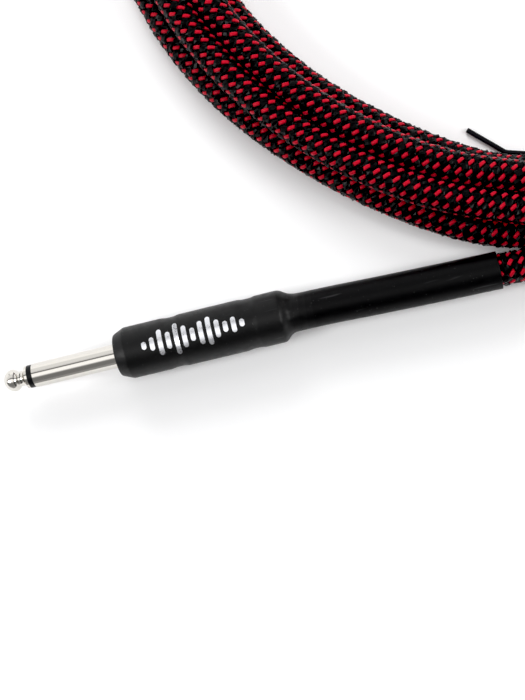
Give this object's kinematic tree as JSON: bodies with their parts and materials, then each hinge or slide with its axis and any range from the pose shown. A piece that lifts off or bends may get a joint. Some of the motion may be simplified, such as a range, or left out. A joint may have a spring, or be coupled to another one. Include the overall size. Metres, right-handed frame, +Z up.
{
  "type": "instrument cable",
  "caption": "Woven-jacket instrument cable with straight quarter-inch phone plugs, shrunk-on boots and a tied oval coil.",
  "frame": {"origin": "on the surface the cable lies on, under the middle of the near plug (tip to boot end)", "axes": "+X along the near plug from its tip towards its cord, +Z up; the coil lies on the +X +Y side"},
  "size_m": [0.27, 0.195, 0.0196],
  "materials": {
    "nickel": "polished",
    "insulator": "satin",
    "brass": "satin",
    "solder": "satin",
    "barrel": "matte",
    "liner": "satin",
    "skin": "matte",
    "silver_print": "satin",
    "copper": "satin",
    "core_white": "satin",
    "conductive_plastic": "matte",
    "cord_black": "matte",
    "yarn_red": "satin",
    "yarn_black": "matte",
    "tie_plastic": "satin"
  },
  "bodies": {
    "root": {"near_tip_contact": "nickel", "near_tip_insulator": "insulator", "near_rod_insulator": "insulator", "near_sleeve_contact": "nickel", "near_rear_washer": "insulator", "near_tip_terminal": "brass", "near_ground_terminal": "brass", "near_barrel": "barrel", "near_barrel_liner": "liner", "near_shrink_boot": "skin", "near_print_mark": "silver_print", "near_tip_solder": "solder", "near_ground_solder": "solder", "near_centre_conductor": "copper", "near_core_insulation": "core_white", "near_conductive_layer": "conductive_plastic", "near_spiral_shield": "copper", "near_inner_jacket": "cord_black", "near_woven_jacket": "yarn_black", "far_tip_contact": "nickel", "far_tip_insulator": "insulator", "far_rod_insulator": "insulator", "far_sleeve_contact": "nickel", "far_rear_washer": "insulator", "far_tip_terminal": "brass", "far_ground_terminal": "brass", "far_barrel": "barrel", "far_barrel_liner": "liner", "far_shrink_boot": "skin", "far_print_mark": "silver_print", "far_tip_solder": "solder", "far_ground_solder": "solder", "far_centre_conductor": "copper", "far_core_insulation": "core_white", "far_conductive_layer": "conductive_plastic", "far_spiral_shield": "copper", "far_inner_jacket": "cord_black", "far_woven_jacket": "yarn_black", "cord_near_run": "cord_black", "cord_far_run": "cord_black", "cord_coil": "cord_black", "coil_tie": "tie_plastic"}
  },
  "joints": []
}
